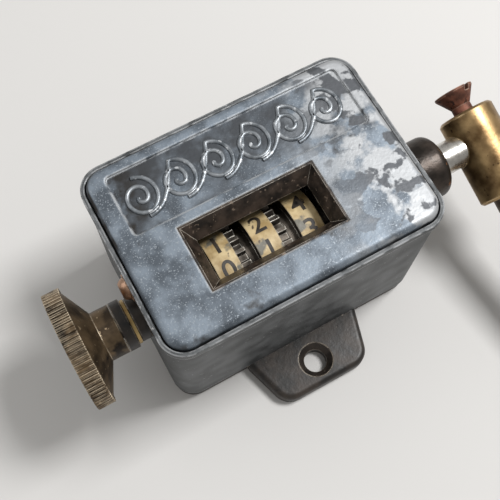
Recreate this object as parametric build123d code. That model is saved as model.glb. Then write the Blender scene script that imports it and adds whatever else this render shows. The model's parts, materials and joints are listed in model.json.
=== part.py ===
from build123d import *
import math
import os

os.makedirs("parts", exist_ok=True)

# Frame: millimetres, origin at the centre of the base plate's underside.
# X runs along the case from reset knob to drive shaft, Y to the back, Z up.

# Base plate and mounting lugs
BASE_T = 3.2
BASE_L, BASE_W = 53.6, 36.6
LUG_REACH = 10.0
LUG_ROOT, LUG_TIP, LUG_CORNER_R = 25.0, 19.0, 4.0
HOLE_SPACING = 48.0
HOLE_R, HOLE_SINK_R = 2.3, 3.5

# Case
CASE_L, CASE_W, CASE_R = 55.0, 38.0, 4.8
BODY_INSET = 0.4
WALL = 2.0
LIP_Z = 36.4
LIP_H = 1.8
LIP_T = 0.75
LEDGE_Z = 34.2
TOP_Z = 37.8
COVER_GAP = 0.35
COVER_EDGE_R = 1.2
POST_X, POST_Y, POST_R, POST_H = 22.6, 13.9, 2.6, 9.0
CASE_SCREW_R, CASE_SCREW_HEAD_R = 1.3, 2.4

# Window and name panel in the cover
WIN_X, WIN_Y = (-15.9, 10.7), (-11.45, 1.5)
WIN_IN_X, WIN_IN_Y = (-13.1, 8.2), (-8.85, -1.5)
WIN_FLOOR_Z = 34.6
BEZEL_RIM = 0.35
PANEL_X, PANEL_Y = (-22.7, 23.6), (3.4, 15.6)
PANEL_DEPTH = 0.45

# Main axis, shared by the knob, number wheels and drive shaft
AXIS_Y, AXIS_Z = -5.0, 23.0

# Number wheels
WHEEL_R = 8.6
WHEEL_X = {"hundreds": -10.5, "tens": -2.2, "units": 6.1}
BAND_W = 4.6
SIDE_W = 1.9
GEAR_TEETH, GEAR_ROOT, GEAR_TIP = 20, 7.0, 8.25
CARRY_R, CARRY_TIP = 6.6, 7.2
PINION_TEETH, PINION_ROOT, PINION_TIP = 8, 2.35, 3.5
PINION_DIST, PINION_ANGLE = 10.95, 10.0
PINION_SHAFT_R = 1.2
RATCHET_X, RATCHET_TIP, RATCHET_ROOT = (10.6, 13.0), 7.6, 6.2

# Frame plates inside the case
PLATE_T = 1.5
LEFT_PLATE_X, RIGHT_PLATE_X = -17.5, 18.2
PLATE_Y, PLATE_TOP = (-15.6, 9.5), 30.0
TIE_R = 1.6
TIE_YZ = [(-10.5, 7.0), (4.0, 7.0)]

# Shafts and running fits
RESET_R = 2.0
DRIVE_R = 3.175
FIT = 0.06
RESET_X = (-41.0, 17.0)
DRIVE_X = (13.6, 52.3)

# Reset knob, collar, washer and bushing
KNOB_X = (-41.4, -38.2)
KNOB_R = 11.3
KNURLS = 72
HUB_R, HUB_END = 4.75, -32.0
CONE_END = -35.4
COLLAR_X = (-31.9, -29.9)
WASHER_X = (-29.8, -29.2)
BUSH_FLANGE_X = -29.1
SET_SCREW_X, SET_SCREW_R = -33.7, 1.0

# Side rivet
RIVET_Y, RIVET_Z, RIVET_R = -1.2, 29.2, 2.2

# Drive boss on the right wall
BOSS_R, BOSS_END = 6.2, 36.4
OIL_HOLE_X, OIL_HOLE_R = 30.2, 0.75

# Drive arm, pawls and spring
ARM_X = (14.0, 16.0)
ARM_HUB_R, PIN_RADIUS, PIN_ANGLE = 5.0, 11.0, -60.0
PIN_R, PAWL_X = 1.0, (11.0, 12.8)
STOP_ANGLE, STOP_R = -38.5, 1.2
SPRING_X, SPRING_R, WIRE_R = (16.5, 17.7), 4.4, 0.3

# Lever clamp block, screw and rod
BLOCK_X, BLOCK_R = 46.5, 5.55
BLOCK_REAR, BLOCK_FRONT = 6.2, 11.8
LEVER_TILT = 14.5
SCREW_GAP, SCREW_CONE, SCREW_HEAD_R, SCREW_R = 1.5, 3.3, 3.9, 2.0
ROD_R, ROD_START, ROD_END = 3.175, 4.6, 58.0
ROD_GROOVE, ROD_GROOVE_R = (43.0, 43.8), 2.85


def block(x, y, z):
    """Box between three pairs of limits."""
    size = Box(x[1] - x[0], y[1] - y[0], z[1] - z[0])
    return Pos(sum(x) / 2, sum(y) / 2, sum(z) / 2) * size


def rounded(length, width, radius, z0, z1):
    """Upright block with rounded corners, centred on the origin."""
    return Pos(0, 0, z0) * extrude(RectangleRounded(length, width, radius), z1 - z0)


def rod(x0, x1, radius, y=AXIS_Y, z=AXIS_Z):
    """Cylinder along X."""
    return Pos((x0 + x1) / 2, y, z) * Rot(0, 90, 0) * Cylinder(radius, x1 - x0)


def polar(radius, degrees):
    """Y and Z of a point around the main axis, measured from +Y towards +Z."""
    a = math.radians(degrees)
    return AXIS_Y + radius * math.cos(a), AXIS_Z + radius * math.sin(a)


def prism(points, x0, x1):
    """Outline given in Y and Z, extruded along X."""
    wire = Polyline([(x0, y, z) for y, z in points], close=True)
    return extrude(make_face(wire), x1 - x0, dir=(1, 0, 0))


def toothed(teeth, root, tip, x0, x1, y=AXIS_Y, z=AXIS_Z, phase=0.0, duty=0.42):
    """Spur wheel with trapezoid teeth; one tooth is centred on the phase angle."""
    pitch = 360.0 / teeth
    points = []
    for i in range(teeth):
        centre = phase + i * pitch
        for part, radius in ((-0.5, root), (-0.28, tip), (0.28, tip), (0.5, root)):
            a = math.radians(centre + part * pitch * duty * 2 * 0.6)
            points.append((y + radius * math.cos(a), z + radius * math.sin(a)))
    return prism(points, x0, x1)


def save(name, shape):
    export_step(shape, f"parts/{name}.step")


def base_plate():
    plate = rounded(BASE_L, BASE_W, CASE_R - 0.7, 0, BASE_T)
    reach = CASE_W / 2 + LUG_REACH
    root, tip = LUG_ROOT / 2, LUG_TIP / 2
    outline = [(-root, 0), (root, 0), (root, CASE_W / 2), (tip, reach), (-tip, reach), (-root, CASE_W / 2)]
    flat = fillet(make_face(Polyline(outline, close=True)).vertices().sort_by(Axis.Y)[-2:], LUG_CORNER_R)
    lug = extrude(flat, BASE_T)
    lug = fillet(lug.faces().sort_by(Axis.Z)[-1].edges().filter_by(lambda e: e.center().Y > CASE_W / 2), 1.2)
    plate = plate + lug + Rot(0, 0, 180) * lug
    for side in (-1, 1):
        hole = Pos(0, side * HOLE_SPACING / 2, BASE_T / 2) * Cylinder(HOLE_R, BASE_T + 2)
        depth = HOLE_SINK_R - HOLE_R
        sink = Pos(0, side * HOLE_SPACING / 2, BASE_T - depth / 2) * Cone(HOLE_R, HOLE_SINK_R, depth)
        plate = plate - hole - sink
    for x, y in post_places():
        sink_h = CASE_SCREW_HEAD_R - CASE_SCREW_R
        plate -= Pos(x, y, BASE_T / 2) * Cylinder(CASE_SCREW_R, BASE_T + 2)
        plate -= Pos(x, y, sink_h / 2) * Cone(CASE_SCREW_HEAD_R, CASE_SCREW_R, sink_h)
    return plate


def post_places():
    return [(sx * POST_X, sy * POST_Y) for sx in (-1, 1) for sy in (-1, 1)]


def case_body():
    length, width = CASE_L - 2 * BODY_INSET, CASE_W - 2 * BODY_INSET
    radius = CASE_R - BODY_INSET
    body = rounded(length, width, radius, BASE_T, LIP_Z)
    body += rounded(CASE_L, CASE_W, CASE_R, LIP_Z - LIP_H, LIP_Z)
    cavity = rounded(length - 2 * WALL, width - 2 * WALL, radius - WALL, BASE_T - 1, LIP_Z + 1)
    rebate = rounded(CASE_L - 2 * LIP_T, CASE_W - 2 * LIP_T, CASE_R - LIP_T, LEDGE_Z, LIP_Z + 1)
    body = body - cavity - rebate
    for x, y in post_places():
        post = Pos(x, y, BASE_T + POST_H / 2) * Cylinder(POST_R, POST_H)
        body += post & rounded(length, width, radius, BASE_T, LIP_Z)
    for x, y in post_places():
        body -= Pos(x, y, BASE_T + POST_H / 2) * Cylinder(CASE_SCREW_R, POST_H + 2)
    wall_out = length / 2
    body -= rod(-wall_out - 1, -wall_out + WALL + 1, 3.2)
    body -= rod(-wall_out - 1, -wall_out + WALL + 1, 1.2, RIVET_Y, RIVET_Z)
    body -= rod(wall_out - WALL - 1, wall_out + 1, 5.0)
    return body


def base_screws():
    screws = []
    for x, y in post_places():
        sink_h = CASE_SCREW_HEAD_R - CASE_SCREW_R
        shank = Pos(x, y, 5.0) * Cylinder(CASE_SCREW_R, 9.6)
        head = Pos(x, y, sink_h / 2 + 0.1) * Cone(CASE_SCREW_HEAD_R - 0.2, CASE_SCREW_R, sink_h - 0.2)
        screws.append((shank + head) - Pos(x, y, 0.3) * Box(0.7, 6, 0.8))
    return Compound(children=screws)


def top_cover():
    length = CASE_L - 2 * LIP_T - 2 * COVER_GAP
    width = CASE_W - 2 * LIP_T - 2 * COVER_GAP
    cover = rounded(length, width, CASE_R - LIP_T - COVER_GAP, LEDGE_Z, TOP_Z)
    cover = fillet(cover.faces().sort_by(Axis.Z)[-1].edges(), COVER_EDGE_R)
    cover -= block(WIN_X, WIN_Y, (LEDGE_Z - 1, TOP_Z + 1))
    panel = fillet(block(PANEL_X, PANEL_Y, (TOP_Z - PANEL_DEPTH, TOP_Z + 1)).edges().filter_by(Axis.Z), 0.9)
    return cover - panel


def window_bezel():
    outer = block(WIN_X, WIN_Y, (WIN_FLOOR_Z, TOP_Z - 0.1))
    top = Pos(sum(WIN_X) / 2, sum(WIN_Y) / 2, TOP_Z) * Rectangle(
        WIN_X[1] - WIN_X[0] - 2 * BEZEL_RIM, WIN_Y[1] - WIN_Y[0] - 2 * BEZEL_RIM)
    floor = Pos(sum(WIN_IN_X) / 2, sum(WIN_IN_Y) / 2, WIN_FLOOR_Z - 0.5) * Rectangle(
        WIN_IN_X[1] - WIN_IN_X[0], WIN_IN_Y[1] - WIN_IN_Y[0])
    return outer - loft([floor, top])


def pinion_place():
    return polar(PINION_DIST, PINION_ANGLE)


def end_plate(x, bore):
    y, z = PLATE_Y, (BASE_T, PLATE_TOP)
    plate = block((x, x + PLATE_T), y, z)
    plate = fillet(plate.edges().filter_by(Axis.X).sort_by(Axis.Z)[-2:], 5.0)
    plate -= rod(x - 1, x + PLATE_T + 1, bore)
    for ty, tz in TIE_YZ:
        plate -= rod(x - 1, x + PLATE_T + 1, TIE_R * 0.7, ty, tz)
    py, pz = pinion_place()
    return plate - rod(x - 1, x + PLATE_T + 1, PINION_SHAFT_R, py, pz)


def right_end_plate():
    plate = end_plate(RIGHT_PLATE_X, DRIVE_R + FIT)
    sy, sz = polar(PIN_RADIUS - 1.0, STOP_ANGLE)
    return plate - rod(RIGHT_PLATE_X - 1, RIGHT_PLATE_X + PLATE_T + 1, STOP_R, sy, sz)


def tie_rods():
    rods = []
    for ty, tz in TIE_YZ:
        middle = rod(LEFT_PLATE_X + PLATE_T, RIGHT_PLATE_X, TIE_R, ty, tz)
        ends = rod(LEFT_PLATE_X - 0.5, RIGHT_PLATE_X + PLATE_T + 0.5, TIE_R * 0.7, ty, tz)
        rods.append(middle + ends)
    return Compound(children=rods)


def number_wheel(name):
    x = WHEEL_X[name]
    band0, band1 = x - BAND_W / 2, x + BAND_W / 2
    wheel = rod(band0, band1, WHEEL_R)
    if name == "units":
        wheel += rod(band1, RATCHET_X[0], 5.0)
    else:
        wheel += toothed(GEAR_TEETH, GEAR_ROOT, GEAR_TIP, band1, band1 + SIDE_W, phase=PINION_ANGLE + 9.0)
    if name != "hundreds":
        wheel += rod(band0 - SIDE_W + 0.25, band0, CARRY_R)
        for angle in (190.0, 208.0):
            ty, tz = polar(CARRY_TIP - 0.6, angle)
            tooth = Pos(band0 - SIDE_W / 2 + 0.1, ty, tz) * Rot(angle, 0, 0) * Box(SIDE_W - 0.5, 1.2, 1.0)
            wheel += tooth
    return wheel - rod(x - 10, x + 10, RESET_R + FIT)


def ratchet_wheel():
    points = []
    for i in range(10):
        points.append(polar(RATCHET_TIP, 36 * i + 12))
        points.append(polar(RATCHET_ROOT, 36 * i + 11))
    wheel = prism(points[::-1], *RATCHET_X)
    return wheel - rod(RATCHET_X[0] - 1, RATCHET_X[1] + 1, RESET_R + FIT)


def transfer_pinion(wheel):
    """Pinion beside the gear ring of one number wheel."""
    x0 = WHEEL_X[wheel] + BAND_W / 2 + 0.15
    x1 = x0 + 2 * SIDE_W - 0.25
    y, z = pinion_place()
    pinion = toothed(PINION_TEETH, PINION_ROOT, PINION_TIP, x0, x1, y, z, phase=180 + PINION_ANGLE, duty=0.5)
    return pinion - rod(x0 - 1, x1 + 1, PINION_SHAFT_R + FIT, y, z)


def pinion_shaft():
    y, z = pinion_place()
    return rod(LEFT_PLATE_X - 0.5, RIGHT_PLATE_X + PLATE_T + 0.5, PINION_SHAFT_R, y, z)


def reset_knob():
    knurled = toothed(KNURLS, KNOB_R - 0.45, KNOB_R, *KNOB_X, duty=0.62)
    cone_len = CONE_END - KNOB_X[1]
    cone = Pos(KNOB_X[1] + cone_len / 2, AXIS_Y, AXIS_Z) * Rot(0, 90, 0) * Cone(KNOB_R - 0.9, HUB_R, cone_len)
    knob = knurled + cone + rod(CONE_END, HUB_END, HUB_R)
    knob -= rod(KNOB_X[0] - 1, KNOB_X[0] + 0.6, KNOB_R - 2.4)
    knob += rod(KNOB_X[0] + 0.4, KNOB_X[0] + 0.6, 3.6)
    knob -= rod(KNOB_X[0] - 1, HUB_END + 1, RESET_R)
    return knob - Pos(SET_SCREW_X, AXIS_Y, AXIS_Z - 3.5) * Cylinder(SET_SCREW_R, 5.0)


def knob_set_screw():
    screw = Pos(SET_SCREW_X, AXIS_Y, AXIS_Z - 3.3) * Cylinder(SET_SCREW_R, 2.6)
    return screw - Pos(SET_SCREW_X, AXIS_Y, AXIS_Z - 4.6) * Box(2.4, 0.35, 0.9)


def ring(x0, x1, outer, inner):
    return rod(x0, x1, outer) - rod(x0 - 1, x1 + 1, inner)


def reset_bushing():
    wall_out = -(CASE_L / 2 - BODY_INSET)
    bush = rod(BUSH_FLANGE_X, wall_out, 4.2) + rod(wall_out, wall_out + WALL + 0.6, 3.2)
    return bush - rod(-40, -20, RESET_R + FIT)


def side_rivet():
    wall_out = -(CASE_L / 2 - BODY_INSET)
    dome = Pos(wall_out, RIVET_Y, RIVET_Z) * Sphere(RIVET_R)
    dome &= block((wall_out - 1.7, wall_out), (RIVET_Y - 4, RIVET_Y + 4), (RIVET_Z - 4, RIVET_Z + 4))
    dome += rod(wall_out - 0.45, wall_out, RIVET_R + 0.45, RIVET_Y, RIVET_Z)
    dome += rod(wall_out, wall_out + WALL, 1.2, RIVET_Y, RIVET_Z)
    return dome + rod(wall_out + WALL, wall_out + WALL + 0.8, 2.0, RIVET_Y, RIVET_Z)


def drive_bushing():
    wall_out = CASE_L / 2 - BODY_INSET
    boss = rod(wall_out, BOSS_END, BOSS_R)
    boss = fillet(boss.edges().filter_by(GeomType.CIRCLE).sort_by(Axis.X)[-1], 1.9)
    boss += rod(wall_out - WALL - 0.8, wall_out, 5.0)
    boss -= rod(20, 40, DRIVE_R + FIT)
    return boss - Pos(OIL_HOLE_X, AXIS_Y, AXIS_Z + 5) * Cylinder(OIL_HOLE_R, 5)


def drive_shaft():
    shaft = rod(*DRIVE_X, DRIVE_R)
    shaft = chamfer(shaft.edges().filter_by(GeomType.CIRCLE).sort_by(Axis.X)[-1], 0.5)
    return shaft - rod(DRIVE_X[0] - 1, RESET_X[1] + 0.5, RESET_R + FIT)


def drive_arm():
    tip_y, tip_z = polar(PIN_RADIUS, PIN_ANGLE)
    arm = rod(*ARM_X, ARM_HUB_R) + rod(*ARM_X, 2.0, tip_y, tip_z)
    side = PIN_ANGLE + 90
    dy, dz = math.cos(math.radians(side)), math.sin(math.radians(side))
    web = [(AXIS_Y + 3.6 * dy, AXIS_Z + 3.6 * dz), (tip_y + 2 * dy, tip_z + 2 * dz),
           (tip_y - 2 * dy, tip_z - 2 * dz), (AXIS_Y - 3.6 * dy, AXIS_Z - 3.6 * dz)]
    arm += prism(web, *ARM_X)
    return arm - rod(10, 20, DRIVE_R) - rod(10, 20, PIN_R, tip_y, tip_z)


def pawl_pin():
    y, z = polar(PIN_RADIUS, PIN_ANGLE)
    return rod(PAWL_X[0], ARM_X[1], PIN_R, y, z)


def drive_pawl():
    y, z = polar(PIN_RADIUS, PIN_ANGLE)
    tip = [polar(RATCHET_TIP + 0.35, PIN_ANGLE + 34), polar(RATCHET_TIP + 1.7, PIN_ANGLE + 32),
           polar(PIN_RADIUS + 1.75, PIN_ANGLE + 2), polar(PIN_RADIUS - 1.7, PIN_ANGLE + 1)]
    pawl = rod(*PAWL_X, 1.8, y, z) + prism(tip, *PAWL_X)
    return pawl - rod(PAWL_X[0] - 1, PAWL_X[1] + 1, PIN_R + FIT, y, z)


def stop_pin():
    y, z = polar(PIN_RADIUS - 1.0, STOP_ANGLE)
    return rod(ARM_X[0] + 0.2, RIGHT_PLATE_X + PLATE_T, STOP_R, y, z)


def retaining_pawl():
    """Leaf that stands on the base and rests near the ratchet teeth."""
    y = AXIS_Y - RATCHET_TIP - 1.0
    foot = block(PAWL_X, (y - 2.6, y), (BASE_T, BASE_T + 0.6))
    leaf = block(PAWL_X, (y - 0.4, y), (BASE_T, AXIS_Z - 1.0))
    nose = prism([(y - 0.4, AXIS_Z - 1.0), (y, AXIS_Z - 1.0), (y + 0.8, AXIS_Z + 1.2), (y + 0.3, AXIS_Z + 1.2)],
                 *PAWL_X)
    return foot + leaf + nose


def return_spring():
    coil = Helix(0.9, SPRING_X[1] - SPRING_X[0], SPRING_R)
    wire = Plane(origin=coil @ 0, z_dir=coil % 0) * Circle(WIRE_R)
    return Pos(SPRING_X[0], AXIS_Y, AXIS_Z) * Rot(0, 90, 0) * sweep(wire, path=coil)


def lever_frame():
    """Placement on the shaft axis with +Z towards the front end of the lever."""
    return Pos(BLOCK_X, AXIS_Y, AXIS_Z) * Rot(90 + LEVER_TILT, 0, 0)


def along(start, end, radius):
    """Cylinder along the lever's own +Z."""
    return Pos(0, 0, (start + end) / 2) * Cylinder(radius, end - start)


def lever_block():
    body = along(-BLOCK_REAR, BLOCK_FRONT, BLOCK_R)
    body = chamfer(body.edges().filter_by(GeomType.CIRCLE), 0.5)
    body -= Rot(0, 90, 0) * Cylinder(DRIVE_R, 4 * BLOCK_R)
    body -= along(ROD_START, BLOCK_FRONT + 1, ROD_R)
    body -= along(-BLOCK_REAR - 1, 0, SCREW_R)
    return lever_frame() * body


def clamp_screw():
    head_face = BLOCK_REAR + SCREW_GAP + SCREW_CONE
    cone = Pos(0, 0, -BLOCK_REAR - SCREW_GAP - SCREW_CONE / 2 + 0.2)
    screw = along(-BLOCK_REAR - SCREW_GAP - 0.5, -DRIVE_R, SCREW_R)
    screw += cone * Cone(SCREW_HEAD_R, SCREW_R, SCREW_CONE - 0.4)
    screw += along(-head_face, -head_face + 0.41, SCREW_HEAD_R)
    screw -= Pos(0, 0, -head_face) * Rot(0, 0, 68) * Box(12, 1.1, 2.2)
    return lever_frame() * screw


def lever_rod():
    bar = along(ROD_START, ROD_END, ROD_R)
    bar = fillet(bar.edges().filter_by(GeomType.CIRCLE).sort_by(Axis.Z)[-1], 1.0)
    groove = along(*ROD_GROOVE, ROD_R + 1) - along(*ROD_GROOVE, ROD_GROOVE_R)
    return lever_frame() * (bar - groove)


NODES = {
    "base_plate": base_plate,
    "case_body": case_body,
    "base_screws": base_screws,
    "top_cover": top_cover,
    "window_bezel": window_bezel,
    "left_end_plate": lambda: end_plate(LEFT_PLATE_X, RESET_R + FIT),
    "right_end_plate": right_end_plate,
    "tie_rods": tie_rods,
    "number_wheel_hundreds": lambda: number_wheel("hundreds"),
    "number_wheel_tens": lambda: number_wheel("tens"),
    "number_wheel_units": lambda: number_wheel("units"),
    "ratchet_wheel": ratchet_wheel,
    "transfer_pinion_tens": lambda: transfer_pinion("tens"),
    "transfer_pinion_hundreds": lambda: transfer_pinion("hundreds"),
    "pinion_shaft": pinion_shaft,
    "reset_shaft": lambda: rod(*RESET_X, RESET_R),
    "reset_knob": reset_knob,
    "knob_set_screw": knob_set_screw,
    "shaft_collar": lambda: ring(*COLLAR_X, 4.8, RESET_R),
    "thrust_washer": lambda: ring(*WASHER_X, 4.3, RESET_R + FIT),
    "reset_bushing": reset_bushing,
    "side_rivet": side_rivet,
    "drive_bushing": drive_bushing,
    "drive_shaft": drive_shaft,
    "drive_arm": drive_arm,
    "pawl_pin": pawl_pin,
    "drive_pawl": drive_pawl,
    "stop_pin": stop_pin,
    "retaining_pawl": retaining_pawl,
    "return_spring": return_spring,
    "lever_block": lever_block,
    "clamp_screw": clamp_screw,
    "lever_rod": lever_rod,
}

for node_name, make in NODES.items():
    save(node_name, make())
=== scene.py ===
import bmesh
import bpy
import json
import math
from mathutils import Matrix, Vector


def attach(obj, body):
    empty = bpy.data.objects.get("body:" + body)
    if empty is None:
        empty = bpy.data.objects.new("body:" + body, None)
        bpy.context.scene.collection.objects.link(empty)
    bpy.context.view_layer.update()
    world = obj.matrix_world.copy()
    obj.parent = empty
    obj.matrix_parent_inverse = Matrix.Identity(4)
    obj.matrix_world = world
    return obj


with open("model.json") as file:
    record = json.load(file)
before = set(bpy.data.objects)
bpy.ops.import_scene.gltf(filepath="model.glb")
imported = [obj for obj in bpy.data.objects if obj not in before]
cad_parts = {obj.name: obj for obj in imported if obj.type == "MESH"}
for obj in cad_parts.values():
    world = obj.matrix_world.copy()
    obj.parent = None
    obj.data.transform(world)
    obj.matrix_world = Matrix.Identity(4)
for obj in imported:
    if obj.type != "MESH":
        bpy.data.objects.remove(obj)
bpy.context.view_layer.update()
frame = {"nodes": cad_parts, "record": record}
N = frame["nodes"]
SLOT_OF = {s["node"]: s["material_slot"] for s in frame["record"]["subparts"]}
MM = 0.001
AXIS_Y, AXIS_Z = -5.0, 23.0

# Printed figures on the drums
DRUM_R, INK_LIFT = 8.6, 0.03
FIGURE_SIZE, FIGURE_STEP, BACK_FIGURE_AT = 5.3, 36, 72
CUT_STEP, CUTS = 0.25, 9
SHOWN = (("hundreds", -10.5, 1), ("tens", -2.2, 2), ("units", 6.1, 4))

# Running scroll in the name panel
SCROLL_COUNT, SCROLL_START, SCROLL_STEP = 6, -18.6, 7.3
SCROLL_Y, SCROLL_Z, SCROLL_R, SCROLL_WIRE = 9.6, 37.36, 3.6, 0.42

# Camera
EYE_AT = (-0.03253, -0.049476, 0.170063)
EYE_TURN = (20.2265, -0.9458, -29.1034)
EYE_LENS = 60.729


def material(name, low, high, metal, rough, scale=300.0, wear=None, wear_w=0.0003, bump=0.1,
             spots=None, spot_scale=900.0, spot_at=0.62, rust=None, rust_at=0.62, brushed=0.0, layers=None):
    """Metal or paint: two mottled tones, fine spots, rust or dirt patches and worn edges."""
    m = bpy.data.materials.new(name)
    m.use_nodes = True
    nt = m.node_tree
    shader = nt.nodes["Principled BSDF"]
    shader.inputs["Metallic"].default_value = metal
    where = nt.nodes.new("ShaderNodeTexCoord").outputs["Object"]

    def noise(s, detail=8.0, stretch=(1, 1, 1)):
        mapping = nt.nodes.new("ShaderNodeMapping")
        mapping.inputs["Scale"].default_value = stretch
        nt.links.new(where, mapping.inputs["Vector"])
        t = nt.nodes.new("ShaderNodeTexNoise")
        t.inputs["Scale"].default_value, t.inputs["Detail"].default_value = s, detail
        nt.links.new(mapping.outputs[0], t.inputs["Vector"])
        return t.outputs[0]

    def band(src, a, b):
        r = nt.nodes.new("ShaderNodeMapRange")
        r.inputs[1].default_value, r.inputs[2].default_value = a, b
        nt.links.new(src, r.inputs[0])
        return r.outputs[0]

    def mix(fac, a, b):
        x = nt.nodes.new("ShaderNodeMix")
        x.data_type = "RGBA"
        nt.links.new(fac, x.inputs[0])
        for socket, value in ((x.inputs[6], a), (x.inputs[7], b)):
            if isinstance(value, tuple):
                socket.default_value = (*value, 1)
            else:
                nt.links.new(value, socket)
        return x.outputs[2]

    colour = mix(band(noise(scale), 0.38, 0.62), low, high)
    if spots:
        colour = mix(band(noise(spot_scale, 3.0), spot_at, spot_at + 0.05), colour, spots)
    if rust:
        colour = mix(band(noise(scale * 0.6, 12.0), rust_at, rust_at + 0.06), colour, rust)
    if layers:
        colour = layers(nt, where, noise, band, mix, colour)
    if wear:
        bevel, geo = nt.nodes.new("ShaderNodeBevel"), nt.nodes.new("ShaderNodeNewGeometry")
        bevel.inputs[0].default_value, bevel.samples = wear_w, 6
        dot = nt.nodes.new("ShaderNodeVectorMath")
        dot.operation = "DOT_PRODUCT"
        nt.links.new(bevel.outputs[0], dot.inputs[0])
        nt.links.new(geo.outputs["Normal"], dot.inputs[1])
        edge = band(dot.outputs["Value"], 0.995, 0.90)
        times = nt.nodes.new("ShaderNodeMath")
        times.operation = "MULTIPLY"
        nt.links.new(edge, times.inputs[0])
        nt.links.new(band(noise(500.0), 0.36, 0.52), times.inputs[1])
        colour = mix(times.outputs[0], colour, wear)
    nt.links.new(colour, shader.inputs["Base Color"])
    r = nt.nodes.new("ShaderNodeMapRange")
    r.inputs[3].default_value, r.inputs[4].default_value = rough - 0.1, rough + 0.14
    nt.links.new(noise(scale * 2), r.inputs[0])
    nt.links.new(r.outputs[0], shader.inputs["Roughness"])
    b = nt.nodes.new("ShaderNodeBump")
    b.inputs["Strength"].default_value, b.inputs["Distance"].default_value = bump, 0.0003
    nt.links.new(noise(1400.0, 6.0, (1, 1, 1 - 0.95 * brushed)), b.inputs["Height"])
    if wear:
        nt.links.new(bevel.outputs[0], b.inputs["Normal"])
    nt.links.new(b.outputs[0], shader.inputs["Normal"])
    return m


BRIGHT = (0.62, 0.64, 0.66)


def cover_layers(nt, where, noise, band, mix, colour):
    """Bare zinc and dark stains on the right of the cover; darker mottling over the recessed name panel,
    darkest at its left end.
    """
    split = nt.nodes.new("ShaderNodeSeparateXYZ")
    nt.links.new(where, split.inputs[0])

    def both(a, b):
        t = nt.nodes.new("ShaderNodeMath")
        t.operation = "MULTIPLY"
        nt.links.new(a, t.inputs[0])
        nt.links.new(b, t.inputs[1])
        return t.outputs[0]

    right = band(split.outputs[0], 0.006, 0.019)
    colour = mix(both(right, band(noise(150.0, 14.0), 0.44, 0.50)), colour, (.36, .37, .38))
    colour = mix(both(right, band(noise(210.0, 15.0), 0.52, 0.55)), colour, (.075, .08, .088))
    # darker mottling over the low-lying back part of the cover, the recessed name panel floor
    low = both(band(split.outputs[2], 0.0376, 0.0374), band(split.outputs[1], 0.0025, 0.0036))
    colour = mix(both(low, band(noise(120.0, 10.0), 0.40, 0.60)), colour, (.05, .055, .062))
    # darkest blotches at the left end of that panel
    corner = both(low, band(split.outputs[0], -0.013, -0.021))
    return mix(both(corner, band(noise(300.0, 12.0), 0.42, 0.55)), colour, (.022, .02, .018))

LOOKS = {
    "cover_zinc": material("cover_zinc", (.075, .09, .108), (.19, .225, .265), .45, .46, 230, (.5, .52, .54),
                           .0006, .14, (.27, .30, .33), 3800, .60, (.05, .052, .055), .60,
                           layers=cover_layers),
    "grey_zinc": material("grey_zinc", (.05, .054, .056), (.12, .126, .13), .4, .48, 260,
                          (.5, .51, .52), .0005, .12, (.3, .3, .3), 1300, .68, brushed=1),
    "black_paint": material("black_paint", (.008, .007, .006), (.035, .026, .02), .1, .42, 300,
                            (.45, .38, .3), .0004, .15, (.2, .17, .14), 900, .70),
    "dark_enamel": material("dark_enamel", (.012, .009, .007), (.05, .035, .026), .1, .32, 420,
                            (.5, .45, .38), .00018, .18, (.16, .12, .09), 1200, .64),
    "wheel_paint": material("wheel_paint", (.36, .25, .11), (.60, .47, .26), .0, .45, 380,
                            (.25, .22, .18), .0003, .2, (.12, .09, .06), 700, .66, (.15, .14, .11), .54),
    "bronze": material("bronze", (.05, .034, .02), (.16, .11, .062), .7, .44, 260, (.62, .52, .38), .0003,
                       .2, (.4, .3, .19), 1000, .66, (.02, .014, .01), .56),
    "copper": material("copper", (.22, .12, .07), (.46, .29, .2), .9, .35, 500, (.85, .6, .45), .0002),
    "dark_steel": material("dark_steel", (.018, .014, .011), (.06, .045, .036), .6, .36, 260,
                           (.3, .27, .24), .0004, .2, (.22, .10, .05), 600, .66),
    "polished_steel": material("polished_steel", (.45, .43, .40), (.68, .66, .62), 1, .26, 300,
                               (.85, .85, .85), .0002, .08, (.16, .1, .06), 900, .67),
    "block_brass": material("block_brass", (.15, .09, .04), (.40, .27, .13), .95, .34, 240, (.8, .62, .38),
                            .0004, .1, (.1, .06, .03), 900, .66),
    "rusty_steel": material("rusty_steel", (.07, .025, .015), (.2, .075, .045), .35, .62, 500,
                            (.5, .36, .28), .0003, .4, (.05, .02, .015), 800, .6),
    "rod_steel": material("rod_steel", (.10, .075, .055), (.30, .25, .20), .85, .38, 300,
                          (.6, .55, .5), .0003, .12, (.1, .05, .03), 700, .63),
    "brass": material("brass", (.30, .2, .08), (.55, .4, .18), .9, .4, 300),
    "steel": material("steel", (.12, .115, .11), (.38, .37, .36), .9, .4, 350, BRIGHT, .0003),
    "spring_steel": material("spring_steel", (.1, .1, .1), (.25, .25, .27), .9, .4, 400),
}
SCROLL = material("scroll_zinc", (.11, .125, .14), (.30, .32, .34), .6, .36, 400, BRIGHT, .0003, .1,
                  (.5, .52, .54), 900, .6)
INK = material("ink", (.015, .012, .01), (.05, .04, .03), 0, .5, 700)
GEAR = material("wheel_gear", (.03, .025, .02), (.14, .12, .1), .8, .45, 400, (.8, .76, .68), .0003)

for name, node in N.items():
    node.data.materials.clear()
    node.data.materials.append(LOOKS[SLOT_OF[name]])
    if name.startswith("number_wheel"):
        node.data.materials.append(GEAR)
        for face in node.data.polygons:
            c = face.center
            inside = math.hypot(c.y - AXIS_Y * MM, c.z - AXIS_Z * MM) < 8.5 * MM
            face.material_index = 1 if inside else 0


def new_mesh(name, bm, look, body):
    mesh = bpy.data.meshes.new(name)
    bm.to_mesh(mesh)
    bm.free()
    obj = bpy.data.objects.new(name, mesh)
    bpy.context.scene.collection.objects.link(obj)
    mesh.materials.append(look)
    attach(obj, body)
    return obj


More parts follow.
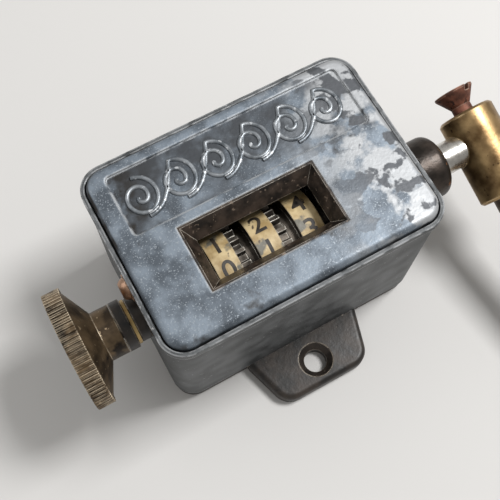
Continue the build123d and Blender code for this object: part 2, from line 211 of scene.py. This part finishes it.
def digits(place, x_mm, back_digit):
    """Ten figures printed round one drum; the figure shown at the back is back_digit."""
    bm = bmesh.new()
    radius = (DRUM_R + INK_LIFT) * MM
    for d in range(10):
        text = bpy.data.curves.new("figure", "FONT")
        text.body, text.size, text.align_x, text.align_y = str(d), FIGURE_SIZE * MM, "CENTER", "CENTER"
        text.offset = 0.00007
        holder = bpy.data.objects.new("figure", text)
        bpy.context.scene.collection.objects.link(holder)
        bpy.context.view_layer.update()
        flat = bmesh.new()
        flat.from_mesh(holder.evaluated_get(bpy.context.evaluated_depsgraph_get()).to_mesh())
        bpy.data.objects.remove(holder)
        for i in range(-CUTS, CUTS + 1):
            bmesh.ops.bisect_plane(flat, geom=flat.verts[:] + flat.edges[:] + flat.faces[:],
                                   plane_co=(0, i * CUT_STEP * MM, 0), plane_no=(0, 1, 0))
        phi = math.radians(BACK_FIGURE_AT + FIGURE_STEP * (back_digit - d))
        for v in flat.verts:
            a = phi - v.co.y / radius
            y, z = AXIS_Y * MM + radius * math.cos(a), AXIS_Z * MM + radius * math.sin(a)
            v.co = Vector((x_mm * MM + v.co.x, y, z))
        part = bpy.data.meshes.new("figure")
        flat.to_mesh(part)
        flat.free()
        bm.from_mesh(part)
        bpy.data.meshes.remove(part)
    new_mesh("figures_" + place, bm, INK, place)


for place, x_mm, shown in SHOWN:
    digits(place, x_mm, shown)


def scroll():
    """Raised running-scroll ornament in the recessed name panel."""
    curve = bpy.data.curves.new("scroll", "CURVE")
    curve.dimensions, curve.bevel_depth, curve.bevel_resolution = "3D", SCROLL_WIRE * MM, 3
    for i in range(SCROLL_COUNT):
        cx = SCROLL_START + i * SCROLL_STEP
        pts = []
        for k in range(61):
            t = k / 60
            a, r = math.radians(90 - 620 * t), SCROLL_R * (1 - t) ** 0.8 + 0.35
            pts.append((cx + r * 0.9 * math.cos(a), SCROLL_Y + r * math.sin(a)))
        tail = [(cx - SCROLL_STEP * (1 - k / 12), SCROLL_Y - 3.9 + 7.85 * (k / 12) ** 2.2) for k in range(12)]
        pts = (tail if i else []) + pts
        line = curve.splines.new("POLY")
        line.points.add(len(pts) - 1)
        for p, (x, y) in zip(line.points, pts):
            p.co = (x * MM, y * MM, SCROLL_Z * MM, 1)
    obj = bpy.data.objects.new("panel_scroll", curve)
    bpy.context.scene.collection.objects.link(obj)
    bpy.context.view_layer.update()
    bm = bmesh.new()
    bm.from_mesh(obj.evaluated_get(bpy.context.evaluated_depsgraph_get()).to_mesh())
    bpy.data.objects.remove(obj)
    new_mesh("panel_scroll", bm, SCROLL, "case")


scroll()

bpy.ops.mesh.primitive_plane_add(size=3, location=(0, 0, -0.0001))
floor = bpy.context.object
floor.name = "floor"
pale = bpy.data.materials.new("pale")
pale.use_nodes = True
pale.node_tree.nodes["Principled BSDF"].inputs["Base Color"].default_value = (.60, .59, .575, 1)
pale.node_tree.nodes["Principled BSDF"].inputs["Roughness"].default_value = 0.8
floor.data.materials.append(pale)


def lamp(name, where, size, watts):
    light = bpy.data.lights.new(name, "AREA")
    light.size, light.energy = size, watts
    obj = bpy.data.objects.new(name, light)
    bpy.context.scene.collection.objects.link(obj)
    obj.location = where
    obj.rotation_euler = (-Vector(where)).to_track_quat("-Z", "Y").to_euler()


lamp("key", (0.24, -0.02, 0.44), 0.14, 2.3)
lamp("fill", (-0.35, 0.25, 0.40), 0.4, 0.7)
world = bpy.data.worlds.new("studio")
world.use_nodes = True
world.node_tree.nodes["Background"].inputs[0].default_value = (1, 0.99, 0.97, 1)
world.node_tree.nodes["Background"].inputs[1].default_value = 0.42
scene = bpy.context.scene
scene.world = world
scene.view_settings.view_transform = "Standard"

camera = bpy.data.cameras.new("camera")
camera.sensor_width, camera.lens, camera.clip_start = 36, EYE_LENS, 0.01
eye = bpy.data.objects.new("camera", camera)
scene.collection.objects.link(eye)
eye.location = EYE_AT
eye.rotation_euler = [math.radians(turn) for turn in EYE_TURN]
scene.camera = eye
